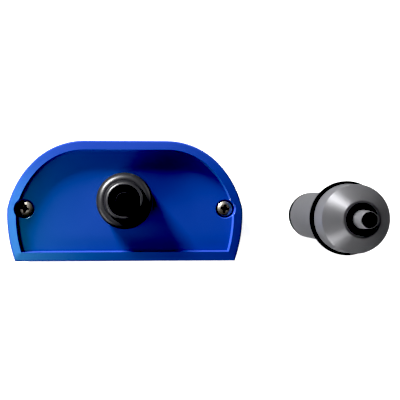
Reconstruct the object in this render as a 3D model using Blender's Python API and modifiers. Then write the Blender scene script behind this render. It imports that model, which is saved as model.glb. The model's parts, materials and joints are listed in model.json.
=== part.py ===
"""A magnetic glass cleaner, as its two halves stand side by side on their pads.

The wiper half is a D-shaped housing with a post handle. The holder half is a round barrel with
a coned head. Magnets in both halves grip each other through the glass. A button on top of each
half pushes a rubber foot out of the pad, which lifts that half off the glass, and a spring
brings it back.

Metres, +Z up. The origin is in the middle of the pair's footprint, on the surface they stand on.
"""

import math

import bmesh
import bpy

MM = 0.001

# Clearances.
GAP = 0.3 * MM  # between pieces that rest on each other
FIT = 0.2 * MM  # around a piece that is seated in a hole
SLIDE = 0.25 * MM  # around a piece that moves in a hole
ROOM = 0.5 * MM  # between pieces that must never touch

# Smoothness of the round shapes.
LARGE_STEPS = 36
SMALL_STEPS = 24
ARC_STEP = math.radians(9)

# The D outline of the wiper half, seen from above.
HOUSING_WIDTH = 115.7 * MM
HOUSING_DEPTH = 59.2 * MM
CROWN_RADIUS = 35.7 * MM  # the corners of the round side
FLANK_RADIUS = 46.2 * MM  # the arcs from the crown down to the screws
SKIRT_RADIUS = 71.0 * MM  # the arcs from the screws down to the straight edge
CROWN_SWEEP = math.radians(45)
WIDEST_BELOW_CENTRE = 6.4 * MM
SCREW_BELOW_CENTRE = 3.95 * MM
SCREW_INSET = 8.45 * MM  # from the housing's widest line to a screw

# The housing.
HOUSING_WALL = 2.5 * MM
SEAL_LEDGE = 2.2 * MM
SEAL_THICKNESS = 0.6 * MM
FACE_THICKNESS = 2.5 * MM
RIM_WIDTH = 4.5 * MM
RIM_HEIGHT = 3.0 * MM
PAD_INSET = 1.2 * MM

# What is stacked below and inside the housing.
FELT_THICKNESS = 2.2 * MM
FOAM_THICKNESS = 2.0 * MM
TRAY_THICKNESS = 5.0 * MM
TRAY_FLOOR = 2.0 * MM
MAGNET_THICKNESS = 6.0 * MM
MAGNET_RIB = 1.2 * MM
KEEPER_THICKNESS = 2.0 * MM

# M4 pan-head screws and the brass inserts that take them.
SCREW_RADIUS = 2.0 * MM
SCREW_HEAD_RADIUS = 4.0 * MM
SCREW_HEAD_HEIGHT = 2.9 * MM
SCREW_HEAD_BELOW_FACE = 0.4 * MM
SCREW_HEAD_CLEARANCE = 0.7 * MM
SCREW_BOSS_WALL = 1.6 * MM
CROSS_WIDTH = 1.3 * MM
CROSS_LENGTH = 4.4 * MM
CROSS_DEPTH = 1.5 * MM
INSERT_WALL = 0.9 * MM
INSERT_INSET = 0.4 * MM

# The post handle.
POST_HEIGHT = 45.4 * MM  # from the housing's face to the lip
POST_HEAD_RADIUS = 12.2 * MM
POST_HEAD_HEIGHT = 9.0 * MM
POST_SHOULDER = 3.0 * MM
POST_WAIST_RADIUS = 10.3 * MM
POST_FOOT_RADIUS = 13.0 * MM
POST_FOOT_HEIGHT = 3.4 * MM
POST_SPIGOT_RADIUS = 8.0 * MM
LIP_RADIUS = 8.9 * MM
LIP_HEIGHT = 3.2 * MM
LIP_ROUNDING = 1.4 * MM
NUT_FLATS = 23.0 * MM
NUT_HEIGHT = 4.0 * MM
O_RING_WIRE = 0.75 * MM

# The release plunger, which is alike in both halves.
TRAVEL = 6.0 * MM
ROD_RADIUS = 2.0 * MM
FOOT_RADIUS = 4.0 * MM
FOOT_HEIGHT = 3.0 * MM
FOOT_ABOVE_GLASS = 0.6 * MM
FOOT_SOCKET = 1.9 * MM
COLLAR_RADIUS = 5.2 * MM
COLLAR_HEIGHT = 3.0 * MM
PIN_BASE_RADIUS = 4.0 * MM
PIN_TIP_RADIUS = 3.6 * MM
PIN_CHAMFER = 0.3 * MM
PIN_SOCKET = 10.0 * MM  # how far the rod goes into the button
BUSH_WALL = 2.2 * MM
SPRING_WIRE = 0.45 * MM
SPRING_TURNS = 7
SPRING_POINTS = 8
GUIDE_LENGTH = 3.0 * MM
WIPER_PIN_ABOVE_LIP = 5.4 * MM
WIPER_BUSH_BELOW_LIP = 3.4 * MM
HOLDER_PIN_ABOVE_LIP = 7.8 * MM
HOLDER_BUSH_BELOW_LIP = 0.3 * MM
BUSH_LENGTH = 7.0 * MM
TIP_INSERT_DEPTH = 1.0 * MM
TIP_INSERT_WALL = 0.35 * MM

# The holder half.
HOLDER_ASIDE = 97.3 * MM  # from the post's axis to the barrel's axis, along X
HOLDER_FORWARD = 7.6 * MM  # and along -Y
BARREL_RADIUS = 11.85 * MM
BARREL_WALL = 1.8 * MM
BARREL_LENGTH = 52.0 * MM
END_CAP_THICKNESS = 3.0 * MM
END_CAP_SPIGOT = 4.0 * MM
HOLDER_FELT_THICKNESS = 2.0 * MM
HOLDER_FELT_INSET = 0.5 * MM
RING_MAGNETS = 3
RING_MAGNET_THICKNESS = 5.0 * MM
POLE_THICKNESS = 2.0 * MM
BUMPER_RADIUS = 16.4 * MM
BUMPER_THICKNESS = 2.4 * MM
HEAD_RADIUS = 14.6 * MM
HEAD_RIM_HEIGHT = 10.4 * MM
HEAD_CONE_HEIGHT = 6.6 * MM
HEAD_LIP_RADIUS = 7.4 * MM
HEAD_SPIGOT = 6.0 * MM

# Heights in the wiper half, from the glass up.
Z_FOAM = FELT_THICKNESS + GAP
Z_TRAY = Z_FOAM + FOAM_THICKNESS + GAP
Z_TRAY_TOP = Z_TRAY + TRAY_THICKNESS
Z_SEAL = Z_TRAY_TOP + GAP
Z_LEDGE = Z_SEAL + SEAL_THICKNESS + GAP
Z_MAGNET = Z_TRAY + TRAY_FLOOR + GAP
Z_KEEPER = Z_MAGNET + MAGNET_THICKNESS + GAP
Z_WEB = Z_KEEPER + KEEPER_THICKNESS + GAP
Z_FACE = Z_WEB + FACE_THICKNESS
Z_RIM = Z_FACE + RIM_HEIGHT
Z_LIP = Z_FACE + POST_HEIGHT

# Heights in the holder half, from the glass up.
Z_CAP = HOLDER_FELT_THICKNESS + GAP
Z_BARREL = Z_CAP + END_CAP_THICKNESS + GAP
Z_BARREL_TOP = Z_BARREL + BARREL_LENGTH
Z_STACK = Z_BARREL + END_CAP_SPIGOT + GAP
Z_POLE = Z_STACK + RING_MAGNETS * (RING_MAGNET_THICKNESS + GAP)
Z_SLEEVE = Z_POLE + POLE_THICKNESS + GAP
Z_HEAD = Z_BARREL_TOP + GAP
Z_HEAD_SPIGOT = Z_HEAD - HEAD_SPIGOT
Z_CONE = Z_HEAD + HEAD_RIM_HEIGHT
Z_HEAD_LIP = Z_CONE + HEAD_CONE_HEIGHT

# Radii that follow from what goes through them.
GUIDE_BORE = ROD_RADIUS + SLIDE
COLLAR_BORE = COLLAR_RADIUS + SLIDE
BUSH_BORE = PIN_BASE_RADIUS + SLIDE
BUSH_RADIUS = BUSH_BORE + BUSH_WALL
BUSH_SEAT = BUSH_RADIUS + FIT
SPRING_RADIUS = COLLAR_BORE - ROOM / 2 - SPRING_WIRE
FOOT_HOLE = FOOT_RADIUS + ROOM
COUNTERBORE = SCREW_HEAD_RADIUS + SCREW_HEAD_CLEARANCE
SCREW_BOSS = COUNTERBORE + SCREW_BOSS_WALL
INSERT_RADIUS = SCREW_RADIUS + FIT + INSERT_WALL
NUT_CORNER = NUT_FLATS / 2 / math.cos(math.pi / 6)
BARREL_BORE = BARREL_RADIUS - BARREL_WALL
BARREL_FIT = BARREL_BORE - FIT

# Where the two axes and the screws stand.
PAIR_WIDTH = HOUSING_WIDTH / 2 + HOLDER_ASIDE + BUMPER_RADIUS
POST_X = HOUSING_WIDTH / 2 - PAIR_WIDTH / 2
POST = (POST_X, 0.0)
HOLDER = (POST_X + HOLDER_ASIDE, -HOLDER_FORWARD)
SCREW_X = HOUSING_WIDTH / 2 - SCREW_INSET
SCREW_Y = -SCREW_BELOW_CENTRE

# The sheet of glass's side of the magnets: the bays between the nut and the screw bosses.
BAY_INNER = NUT_CORNER + ROOM
BAY_OUTER = SCREW_X - SCREW_BOSS - ROOM


# ---------------------------------------------------------------- scene and materials


def clear_scene():
    for thing in list(bpy.data.objects):
        bpy.data.objects.remove(thing)


def new_collection(name):
    made = bpy.data.collections.new(name)
    bpy.context.scene.collection.children.link(made)
    return made


def finish(name, colour, roughness, metallic=0.0):
    material = bpy.data.materials.new(name)
    material.use_nodes = True
    shader = material.node_tree.nodes["Principled BSDF"]
    shader.inputs["Base Color"].default_value = (*colour, 1.0)
    shader.inputs["Roughness"].default_value = roughness
    shader.inputs["Metallic"].default_value = metallic
    material.diffuse_color = (*colour, 1.0)
    return material


clear_scene()
PARTS = new_collection("magnetic_glass_cleaner")
CUTTERS = new_collection("cutters")

BLUE = finish("blue_abs", (0.010, 0.075, 0.42), 0.32)
BLACK = finish("black_abs", (0.010, 0.010, 0.011), 0.30)
GREY = finish("grey_anodised_aluminium", (0.33, 0.33, 0.34), 0.34, 0.9)
RUBBER = finish("black_rubber", (0.012, 0.012, 0.012), 0.65)
STEEL = finish("stainless_steel", (0.55, 0.54, 0.51), 0.28, 1.0)
NICKEL = finish("nickel_plated_magnet", (0.60, 0.58, 0.54), 0.25, 1.0)
BRASS = finish("brass", (0.65, 0.45, 0.16), 0.30, 1.0)
FELT = finish("grey_felt", (0.10, 0.10, 0.11), 0.95)
FOAM = finish("eva_foam", (0.03, 0.03, 0.035), 0.90)


# ---------------------------------------------------------------- shapes


def place(name, mesh, location, material, collection):
    made = bpy.data.objects.new(name, mesh)
    made.location = location
    if material is not None:
        mesh.materials.clear()
        mesh.materials.append(material)
    collection.objects.link(made)
    return made


def arc(centre_r, centre_z, radius, start, end, steps):
    """Points from start to end, in degrees, round a centre in the profile's plane."""
    turns = [math.radians(start + (end - start) * i / steps) for i in range(steps + 1)]
    return [(centre_r + radius * math.cos(t), centre_z + radius * math.sin(t)) for t in turns]


def turned(name, profile, axis, material, steps=SMALL_STEPS, closed=True):
    """A turned piece. Its profile of (radius, height) runs down the outer side, top to bottom.
    A closed profile makes a ring, and an open one starts and ends on the axis."""
    count = len(profile)
    edges = [(i, i + 1) for i in range(count - 1)]
    if closed:
        edges.append((count - 1, 0))
    mesh = bpy.data.meshes.new(name)
    mesh.from_pydata([(r, 0.0, z) for r, z in profile], edges, [])
    made = place(name, mesh, (axis[0], axis[1], 0.0), material, PARTS)
    screw = made.modifiers.new("turn", "SCREW")
    screw.steps = screw.render_steps = steps
    screw.use_merge_vertices = True
    screw.merge_threshold = 1e-6
    screw.use_smooth_shade = True
    return made


def ring(name, inner, outer, low, high, axis, material, steps=SMALL_STEPS):
    profile = [(outer, high), (outer, low), (inner, low), (inner, high)]
    return turned(name, profile, axis, material, steps)


def o_ring(name, radius, wire, height, axis):
    section = arc(radius, height, wire, 90, -225, 7)
    return turned(name, section, axis, RUBBER)


def flat_shape(name, loops, low, high, axis, material, collection):
    """A prism from closed loops of (x, y): the first is the outline, the rest are holes."""
    curve = bpy.data.curves.new(name, "CURVE")
    curve.dimensions = "2D"
    curve.fill_mode = "BOTH"
    curve.extrude = (high - low) / 2
    for loop in loops:
        spline = curve.splines.new("POLY")
        spline.points.add(len(loop) - 1)
        for point, (x, y) in zip(spline.points, loop):
            point.co = (x, y, 0.0, 1.0)
        spline.use_cyclic_u = True
    drawn = place(name + "_drawn", curve, (axis[0], axis[1], (low + high) / 2), None, collection)
    bpy.context.view_layer.update()
    mesh = bpy.data.meshes.new_from_object(drawn.evaluated_get(bpy.context.evaluated_depsgraph_get()))
    work = bmesh.new()
    work.from_mesh(mesh)
    bmesh.ops.remove_doubles(work, verts=work.verts, dist=1e-6)
    bmesh.ops.recalc_face_normals(work, faces=work.faces)
    work.to_mesh(mesh)
    work.free()
    made = place(name, mesh, (0, 0, 0), material, collection)
    made.matrix_world = drawn.matrix_world.copy()
    bpy.data.objects.remove(drawn)
    return made


def rectangle(low_x, high_x, low_y, high_y):
    return [(low_x, low_y), (high_x, low_y), (high_x, high_y), (low_x, high_y)]


def round_cutter(name, radius, low, high, centre, steps=SMALL_STEPS):
    mesh = bpy.data.meshes.new(name)
    work = bmesh.new()
    bmesh.ops.create_cone(
        work, cap_ends=True, segments=steps, radius1=radius, radius2=radius, depth=high - low
    )
    work.to_mesh(mesh)
    work.free()
    return helper(place(name, mesh, (centre[0], centre[1], (low + high) / 2), None, CUTTERS))


def box_cutter(name, loop, low, high, axis):
    return helper(flat_shape(name, [loop], low, high, axis, None, CUTTERS))


def helper(thing):
    thing.hide_render = True
    thing.display_type = "WIRE"
    return thing


def combine(target, other, operation):
    step = target.modifiers.new(other.name, "BOOLEAN")
    step.operation = operation
    step.object = other


def cut(target, *cutters):
    for cutter in cutters:
        combine(target, cutter, "DIFFERENCE")


# ---------------------------------------------------------------- the D outline


def arc_centres():
    """Centres of the right side's crown, flank and skirt arcs."""
    reach = FLANK_RADIUS - CROWN_RADIUS
    crown_y = HOUSING_DEPTH / 2 - CROWN_RADIUS
    flank_y = crown_y - reach * math.sin(CROWN_SWEEP)
    skirt_x = HOUSING_WIDTH / 2 - SKIRT_RADIUS
    skirt_y = -WIDEST_BELOW_CENTRE
    screw_side = skirt_x + math.sqrt(SKIRT_RADIUS**2 - (SCREW_Y - skirt_y) ** 2)
    flank_x = screw_side - math.sqrt(FLANK_RADIUS**2 - (SCREW_Y - flank_y) ** 2)
    crown_x = flank_x + reach * math.cos(CROWN_SWEEP)
    return (crown_x, crown_y), (flank_x, flank_y), (skirt_x, skirt_y)


def meeting_point(first, first_radius, second, second_radius):
    """The right-hand point where two circles cross."""
    along = (second[0] - first[0], second[1] - first[1])
    apart = math.hypot(*along)
    step = (apart**2 + first_radius**2 - second_radius**2) / (2 * apart)
    height = math.sqrt(first_radius**2 - step**2)
    unit = (along[0] / apart, along[1] / apart)
    foot = (first[0] + step * unit[0], first[1] + step * unit[1])
    crossings = [
        (foot[0] - side * height * unit[1], foot[1] + side * height * unit[0]) for side in (1, -1)
    ]
    return max(crossings)


def sweep(centre, radius, start, end):
    """Points round a centre from one angle to another, in radians."""
    steps = max(2, round(abs(end - start) / ARC_STEP))
    turns = [start + (end - start) * i / steps for i in range(steps + 1)]
    return [(centre[0] + radius * math.cos(t), centre[1] + radius * math.sin(t)) for t in turns]


def angle_from(centre, point):
    return math.atan2(point[1] - centre[1], point[0] - centre[0])


def d_outline(inset):
    """The housing's outline seen from above, drawn in by inset, anticlockwise."""
    crown, flank, skirt = arc_centres()
    bottom = -HOUSING_DEPTH / 2 + inset
    kink = meeting_point(flank, FLANK_RADIUS - inset, skirt, SKIRT_RADIUS - inset)
    corner_x = skirt[0] + math.sqrt((SKIRT_RADIUS - inset) ** 2 - (bottom - skirt[1]) ** 2)
    skirt_part = sweep(
        skirt,
        SKIRT_RADIUS - inset,
        angle_from(skirt, (corner_x, bottom)),
        angle_from(skirt, kink),
    )
    flank_part = sweep(flank, FLANK_RADIUS - inset, angle_from(flank, kink), CROWN_SWEEP)
    crown_part = sweep(crown, CROWN_RADIUS - inset, CROWN_SWEEP, math.pi / 2)
    right = skirt_part + flank_part[1:] + crown_part[1:]
    left = [(-x, y) for x, y in reversed(right)]
    return right + left


def inside_height(x, inset):
    """How far up, along Y, the inset outline reaches at a given X."""
    crown, flank, _ = arc_centres()
    corner_x = crown[0] + (CROWN_RADIUS - inset) * math.cos(CROWN_SWEEP)
    if x <= crown[0]:
        return HOUSING_DEPTH / 2 - inset
    if x < corner_x:
        return crown[1] + math.sqrt((CROWN_RADIUS - inset) ** 2 - (x - crown[0]) ** 2)
    return flank[1] + math.sqrt((FLANK_RADIUS - inset) ** 2 - (x - flank[0]) ** 2)


# ---------------------------------------------------------------- the wiper half


def screw_places():
    return (("left", (POST[0] - SCREW_X, SCREW_Y)), ("right", (POST[0] + SCREW_X, SCREW_Y)))


def wiper_housing():
    shell = flat_shape("wiper_housing", [d_outline(0)], Z_TRAY, Z_RIM, POST, BLUE, PARTS)
    beyond = 1.0 * MM
    ledge_inset = HOUSING_WALL + SEAL_LEDGE
    cut(
        shell,
        box_cutter("recess_cut", d_outline(RIM_WIDTH), Z_FACE, Z_RIM + beyond, POST),
        box_cutter("tray_cut", d_outline(HOUSING_WALL), Z_TRAY - beyond, Z_LEDGE, POST),
        box_cutter("magnet_room_cut", d_outline(ledge_inset), Z_LEDGE - beyond, Z_WEB, POST),
        round_cutter("spigot_cut", POST_SPIGOT_RADIUS + FIT, Z_WEB - beyond, Z_RIM, POST),
    )
    seat = Z_FACE - SCREW_HEAD_BELOW_FACE - SCREW_HEAD_HEIGHT - GAP
    for side, centre in screw_places():
        boss = round_cutter("boss_" + side, SCREW_BOSS, Z_LEDGE, Z_FACE - beyond, centre)
        combine(shell, boss, "UNION")
    for side, centre in screw_places():
        cut(
            shell,
            round_cutter("head_cut_" + side, COUNTERBORE, seat, Z_RIM + beyond, centre),
            round_cutter("shank_cut_" + side, SCREW_RADIUS + FIT, Z_LEDGE - beyond, Z_RIM, centre),
        )


def magnet_bays():
    """Name and (low x, high x, low y, high y) of each magnet, round the post's axis."""
    inset = HOUSING_WALL + SEAL_LEDGE + ROOM
    top = inside_height(BAY_OUTER + ROOM, inset)
    bottom = -HOUSING_DEPTH / 2 + inset
    depth = (top - bottom - MAGNET_RIB) / 2
    rows = (("front", bottom), ("back", bottom + depth + MAGNET_RIB))
    for row, low in rows:
        yield "left_" + row, (-BAY_OUTER, -BAY_INNER, low, low + depth)
        yield "right_" + row, (BAY_INNER, BAY_OUTER, low, low + depth)


def magnets_and_tray():
    tray = flat_shape(
        "magnet_tray", [d_outline(HOUSING_WALL + FIT)], Z_TRAY, Z_TRAY_TOP, POST, BLACK, PARTS
    )
    beyond = 1.0 * MM
    corners = []
    for where, (low_x, high_x, low_y, high_y) in magnet_bays():
        pocket = rectangle(low_x - FIT, high_x + FIT, low_y - FIT, high_y + FIT)
        floor = Z_TRAY + TRAY_FLOOR
        cut(tray, box_cutter("pocket_" + where, pocket, floor, Z_TRAY_TOP + beyond, POST))
        flat_shape(
            "bar_magnet_" + where,
            [rectangle(low_x, high_x, low_y, high_y)],
            Z_MAGNET,
            Z_MAGNET + MAGNET_THICKNESS,
            POST,
            NICKEL,
            PARTS,
        )
        corners += [low_y, high_y]
    cut(tray, round_cutter("rod_cut", GUIDE_BORE, Z_TRAY - beyond, Z_TRAY_TOP + beyond, POST))
    for side, centre in screw_places():
        hole = round_cutter(
            "insert_cut_" + side, INSERT_RADIUS + FIT, Z_TRAY - beyond, Z_TRAY_TOP + beyond, centre
        )
        cut(tray, hole)
    keeper = flat_shape(
        "keeper_plate",
        [rectangle(-BAY_OUTER, BAY_OUTER, min(corners), max(corners))],
        Z_KEEPER,
        Z_KEEPER + KEEPER_THICKNESS,
        POST,
        STEEL,
        PARTS,
    )
    cut(keeper, round_cutter("nut_room", BAY_INNER, Z_MAGNET, Z_FACE, POST))


def housing_seal():
    outer = d_outline(HOUSING_WALL + FIT)
    inner = d_outline(HOUSING_WALL + SEAL_LEDGE)
    flat_shape("housing_seal", [outer, inner], Z_SEAL, Z_SEAL + SEAL_THICKNESS, POST, RUBBER, PARTS)


def wiper_pad():
    hole = [(FOOT_HOLE * math.cos(t), FOOT_HOLE * math.sin(t)) for t in circle_turns(SMALL_STEPS)]
    outline = d_outline(PAD_INSET)
    flat_shape("felt_pad", [outline, hole], 0.0, FELT_THICKNESS, POST, FELT, PARTS)
    flat_shape("foam_backing", [outline, hole], Z_FOAM, Z_FOAM + FOAM_THICKNESS, POST, FOAM, PARTS)


def circle_turns(count):
    return [math.tau * i / count for i in range(count)]


def cover_screws():
    top = Z_FACE - SCREW_HEAD_BELOW_FACE
    seat = top - SCREW_HEAD_HEIGHT
    end = Z_TRAY + INSERT_INSET + GAP
    crown = SCREW_HEAD_HEIGHT * 0.35
    for side, centre in screw_places():
        screw = turned(
            "cover_screw_" + side,
            [
                (0.0, top),
                (SCREW_HEAD_RADIUS * 0.55, top - crown * 0.18),
                (SCREW_HEAD_RADIUS * 0.85, top - crown * 0.6),
                (SCREW_HEAD_RADIUS, top - crown * 1.4),
                (SCREW_HEAD_RADIUS, seat),
                (SCREW_RADIUS, seat),
                (SCREW_RADIUS, end + SCREW_RADIUS / 2),
                (SCREW_RADIUS / 2, end),
                (0.0, end),
            ],
            centre,
            STEEL,
            closed=False,
        )
        half_width, half_length = CROSS_WIDTH / 2, CROSS_LENGTH / 2
        low, high = top - CROSS_DEPTH, top + CROSS_DEPTH
        across = rectangle(-half_length, half_length, -half_width, half_width)
        upright = rectangle(-half_width, half_width, -half_length, half_length)
        cut(screw, box_cutter("cross_a_" + side, across, low, high, centre))
        cut(screw, box_cutter("cross_b_" + side, upright, low, high, centre))
        ring(
            "thread_insert_" + side,
            SCREW_RADIUS + FIT,
            INSERT_RADIUS,
            Z_TRAY + INSERT_INSET,
            Z_TRAY_TOP - INSERT_INSET,
            centre,
            BRASS,
        )


def waist(steps):
    """The post's side from under its head down to its foot."""
    top = Z_LIP - POST_HEAD_HEIGHT - LIP_HEIGHT
    low = Z_FACE + GAP + POST_FOOT_HEIGHT
    points = []
    for i in range(steps + 1):
        share = i / steps
        widest = POST_HEAD_RADIUS + (POST_FOOT_RADIUS - POST_HEAD_RADIUS) * share
        bow = math.sin(math.pi * share) ** 2
        points.append((widest + (POST_WAIST_RADIUS - widest) * bow, top + (low - top) * share))
    return points


def handle_post():
    shoulder = Z_LIP - LIP_HEIGHT
    inner_edge = POST_HEAD_RADIUS - POST_SHOULDER
    foot = Z_FACE + GAP
    spigot_end = Z_TRAY_TOP + ROOM
    bush_floor = Z_LIP - WIPER_BUSH_BELOW_LIP - BUSH_LENGTH - GAP
    groove_middle = (POST_SPIGOT_RADIUS + POST_FOOT_RADIUS) / 2
    groove_half = O_RING_WIRE + FIT
    groove_top = foot + 2 * O_RING_WIRE
    chamfer = 0.3 * MM
    profile = (
        [(BUSH_SEAT + chamfer, Z_LIP)]
        + arc(LIP_RADIUS - LIP_ROUNDING, Z_LIP - LIP_ROUNDING, LIP_ROUNDING, 90, 0, 3)
        + [(LIP_RADIUS, shoulder)]
        + arc(inner_edge, shoulder - POST_SHOULDER, POST_SHOULDER, 90, 0, 4)
        + waist(8)
        + [
            (POST_FOOT_RADIUS, foot),
            (groove_middle + groove_half, foot),
            (groove_middle + groove_half, groove_top),
            (groove_middle - groove_half, groove_top),
            (groove_middle - groove_half, foot),
            (POST_SPIGOT_RADIUS, foot),
            (POST_SPIGOT_RADIUS, spigot_end),
            (GUIDE_BORE, spigot_end),
            (GUIDE_BORE, foot + GUIDE_LENGTH),
            (COLLAR_BORE, foot + GUIDE_LENGTH),
            (COLLAR_BORE, bush_floor),
            (BUSH_SEAT, bush_floor),
            (BUSH_SEAT, Z_LIP - chamfer),
        ]
    )
    turned("handle_post", profile, POST, BLACK, LARGE_STEPS)
    o_ring("post_o_ring", groove_middle, O_RING_WIRE, foot - GAP / 2 + O_RING_WIRE, POST)


def post_nut():
    mesh = bpy.data.meshes.new("post_nut")
    work = bmesh.new()
    bmesh.ops.create_cone(
        work, cap_ends=True, segments=6, radius1=NUT_CORNER, radius2=NUT_CORNER, depth=NUT_HEIGHT
    )
    work.to_mesh(mesh)
    work.free()
    middle = Z_WEB - GAP - NUT_HEIGHT / 2
    nut = place("post_nut", mesh, (POST[0], POST[1], middle), BLACK, PARTS)
    cut(nut, round_cutter("nut_bore", POST_SPIGOT_RADIUS + FIT, Z_TRAY, Z_FACE, POST, LARGE_STEPS))


# ---------------------------------------------------------------- the release plungers


def coil_spring(name, low, high, axis):
    curve = bpy.data.curves.new(name, "CURVE")
    curve.dimensions = "3D"
    curve.bevel_depth = SPRING_WIRE
    curve.bevel_resolution = 2
    curve.use_fill_caps = True
    spline = curve.splines.new("POLY")
    count = SPRING_TURNS * SPRING_POINTS + 1
    spline.points.add(count - 1)
    first, last = low + SPRING_WIRE, high - SPRING_WIRE
    for i, point in enumerate(spline.points):
        turn = math.tau * i / SPRING_POINTS
        height = first + (last - first) * i / (count - 1)
        point.co = (SPRING_RADIUS * math.cos(turn), SPRING_RADIUS * math.sin(turn), height, 1.0)
    place(name, curve, (axis[0], axis[1], 0.0), STEEL, PARTS)


def plunger(names, axis, button_top, bush_top, spring_floor, pin_material):
    """Bush, button, rod, foot and spring on one axis. The button's collar rests under the bush."""
    bush_low = bush_top - BUSH_LENGTH
    bevel = 0.9 * MM
    bush = [
        (BUSH_RADIUS - bevel, bush_top),
        (BUSH_RADIUS, bush_top - bevel),
        (BUSH_RADIUS, bush_low),
        (BUSH_BORE, bush_low),
        (BUSH_BORE, bush_top),
    ]
    turned(names["bush"], bush, axis, BLACK)
    collar_top = bush_low - GAP
    collar_low = collar_top - COLLAR_HEIGHT
    socket = ROD_RADIUS + FIT
    socket_top = collar_low + PIN_SOCKET
    pin = [
        (PIN_TIP_RADIUS - PIN_CHAMFER, button_top),
        (PIN_TIP_RADIUS, button_top - PIN_CHAMFER),
        (PIN_BASE_RADIUS, bush_top),
        (PIN_BASE_RADIUS, collar_top),
        (COLLAR_RADIUS, collar_top),
        (COLLAR_RADIUS, collar_low),
        (socket, collar_low),
        (socket, socket_top),
        (0.0, socket_top),
    ]
    crown = [(0.0, button_top)]
    if "tip" in names:
        seat = PIN_TIP_RADIUS - PIN_CHAMFER - TIP_INSERT_WALL
        seat_floor = button_top - TIP_INSERT_DEPTH
        crown = [(0.0, seat_floor), (seat, seat_floor), (seat, button_top)]
        tip = [
            (0.0, button_top),
            (seat - FIT, button_top),
            (seat - FIT, seat_floor + FIT),
            (0.0, seat_floor + FIT),
        ]
        turned(names["tip"], tip, axis, BLACK, closed=False)
    turned(names["button"], crown + pin, axis, pin_material, closed=False)
    foot_low = FOOT_ABOVE_GLASS
    foot_top = foot_low + FOOT_HEIGHT
    foot_floor = foot_top - FOOT_SOCKET
    rod_low = foot_floor + FIT
    rod_top = socket_top - FIT
    rod = [(0.0, rod_top), (ROD_RADIUS, rod_top), (ROD_RADIUS, rod_low), (0.0, rod_low)]
    turned(names["rod"], rod, axis, STEEL, closed=False)
    foot = [
        (0.0, foot_floor),
        (socket, foot_floor),
        (socket, foot_top),
        (FOOT_RADIUS, foot_top),
        (FOOT_RADIUS, foot_low + PIN_CHAMFER),
        (FOOT_RADIUS - PIN_CHAMFER, foot_low),
        (0.0, foot_low),
    ]
    turned(names["foot"], foot, axis, RUBBER, closed=False)
    coil_spring(names["spring"], spring_floor + GAP, collar_low - GAP, axis)


def wiper_plunger():
    names = {
        "bush": "post_bush",
        "button": "release_button",
        "rod": "release_rod",
        "foot": "release_foot",
        "spring": "release_spring",
    }
    spring_floor = Z_FACE + GAP + GUIDE_LENGTH
    bush_top = Z_LIP - WIPER_BUSH_BELOW_LIP
    plunger(names, POST, Z_LIP + WIPER_PIN_ABOVE_LIP, bush_top, spring_floor, BLACK)


def holder_plunger():
    names = {
        "bush": "head_bush",
        "button": "holder_button",
        "tip": "holder_button_tip",
        "rod": "holder_rod",
        "foot": "holder_foot",
        "spring": "holder_spring",
    }
    spring_floor = Z_SLEEVE + GUIDE_LENGTH
    bush_top = Z_HEAD_LIP - HOLDER_BUSH_BELOW_LIP
    plunger(names, HOLDER, Z_HEAD_LIP + HOLDER_PIN_ABOVE_LIP, bush_top, spring_floor, GREY)


# ---------------------------------------------------------------- the holder half


def holder_pad_and_end_cap():
    ring(
        "holder_felt",
        FOOT_HOLE,
        BARREL_RADIUS - HOLDER_FELT_INSET,
        0.0,
        HOLDER_FELT_THICKNESS,
        HOLDER,
        FELT,
        LARGE_STEPS,
    )
    pocket = FOOT_ABOVE_GLASS + FOOT_HEIGHT + GAP
    profile = [
        (BARREL_RADIUS, Z_BARREL - GAP),
        (BARREL_RADIUS, Z_CAP),
        (FOOT_HOLE, Z_CAP),
        (FOOT_HOLE, pocket),
        (GUIDE_BORE, pocket),
        (GUIDE_BORE, Z_BARREL + END_CAP_SPIGOT),
        (BARREL_FIT, Z_BARREL + END_CAP_SPIGOT),
        (BARREL_FIT, Z_BARREL - GAP),
    ]
    turned("barrel_end_cap", profile, HOLDER, BLACK, LARGE_STEPS)


def holder_magnets():
    bore = GUIDE_BORE + ROOM
    for i in range(RING_MAGNETS):
        low = Z_STACK + i * (RING_MAGNET_THICKNESS + GAP)
        high = low + RING_MAGNET_THICKNESS
        ring(f"ring_magnet_{i + 1}", bore, BARREL_FIT, low, high, HOLDER, NICKEL)
    ring("pole_washer", bore, BARREL_FIT, Z_POLE, Z_POLE + POLE_THICKNESS, HOLDER, STEEL)


def spring_sleeve():
    top = Z_HEAD_SPIGOT - GAP
    floor = Z_SLEEVE + GUIDE_LENGTH
    profile = [
        (BARREL_FIT, top),
        (BARREL_FIT, Z_SLEEVE),
        (GUIDE_BORE, Z_SLEEVE),
        (GUIDE_BORE, floor),
        (COLLAR_BORE, floor),
        (COLLAR_BORE, top),
    ]
    turned("spring_sleeve", profile, HOLDER, BLACK)


def holder_barrel():
    ring(
        "holder_barrel",
        BARREL_BORE,
        BARREL_RADIUS,
        Z_BARREL,
        Z_BARREL_TOP,
        HOLDER,
        GREY,
        LARGE_STEPS,
    )
    top = Z_HEAD - GAP
    low = top - BUMPER_THICKNESS
    rounding = BUMPER_THICKNESS / 4
    profile = [
        (BUMPER_RADIUS - rounding, top),
        (BUMPER_RADIUS, top - rounding),
        (BUMPER_RADIUS, low + rounding),
        (BUMPER_RADIUS - rounding, low),
        (BARREL_RADIUS + FIT, low),
        (BARREL_RADIUS + FIT, top),
    ]
    turned("bumper_ring", profile, HOLDER, RUBBER, LARGE_STEPS)


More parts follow.
